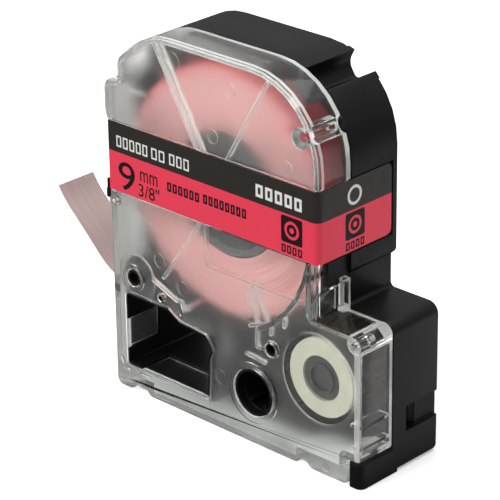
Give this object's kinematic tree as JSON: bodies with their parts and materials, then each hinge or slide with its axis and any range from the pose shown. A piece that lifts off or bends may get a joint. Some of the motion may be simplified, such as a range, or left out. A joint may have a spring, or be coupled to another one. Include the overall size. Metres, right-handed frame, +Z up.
{
  "type": "label tape cartridge",
  "caption": "Label printer tape cartridge: clear front half, black rear half, a roll of label tape, a platen, and an ink ribbon that runs between a supply and a take-up spool.",
  "frame": {"origin": "middle of the lower edge's underside, half way through the case's depth; the cartridge stands on that edge", "axes": "+X towards the stepped side that holds the ribbon's supply spool, +Y from the clear front face to the black back face, +Z up towards the rounded top"},
  "size_m": [0.0831, 0.0214, 0.073],
  "materials": {
    "clear_plastic": "frosted clear polystyrene",
    "black_plastic": "satin",
    "printed_label": "printed film label, red with a dark band",
    "grey_plastic": "satin",
    "tape": "satin film with a paper backing",
    "side_film": "thin clear film",
    "rubber": "matt",
    "ivory_plastic": "matt",
    "ink_ribbon": "thin glossy film",
    "steel": "drawn wire"
  },
  "bodies": {
    "case": {"front_case": "clear_plastic", "rear_case": "black_plastic", "case_label": "printed_label", "tape_strip": "tape", "ink_ribbon": "ink_ribbon", "ribbon_guide_pin": "steel", "tape_core_spring": "steel", "supply_spring": "steel", "takeup_spring": "steel"},
    "tape_spool": {"tape_core": "grey_plastic", "tape_roll": "tape", "tape_film_front": "side_film", "tape_film_rear": "side_film"},
    "platen": {"platen_core": "black_plastic", "platen_rubber": "rubber"},
    "supply_spool": {"supply_core": "grey_plastic", "supply_washer": "ivory_plastic", "supply_roll": "ink_ribbon"},
    "takeup_spool": {"takeup_core": "black_plastic", "takeup_roll": "ink_ribbon"}
  },
  "joints": [
    {"name": "tape_spool_turn", "type": "hinge", "parent": "case", "child": "tape_spool", "pos_m": [-0.006, 0, 0.0446], "axis": [0, -1, 0], "continuous": true},
    {"name": "platen_turn", "type": "hinge", "parent": "case", "child": "platen", "pos_m": [-0.0251, 0, 0.024], "axis": [0, -1, 0], "continuous": true},
    {"name": "supply_spool_turn", "type": "hinge", "parent": "case", "child": "supply_spool", "pos_m": [0.0204, 0, 0.0182], "axis": [0, -1, 0], "continuous": true},
    {"name": "takeup_spool_turn", "type": "hinge", "parent": "case", "child": "takeup_spool", "pos_m": [0.0053, 0, 0.0106], "axis": [0, -1, 0], "continuous": true}
  ],
  "couplings": [
    {"joint": "platen_turn", "follows": "tape_spool_turn", "ratio": -6.4722},
    {"joint": "supply_spool_turn", "follows": "tape_spool_turn", "ratio": 3.3768},
    {"joint": "takeup_spool_turn", "follows": "tape_spool_turn", "ratio": 3.8833}
  ]
}
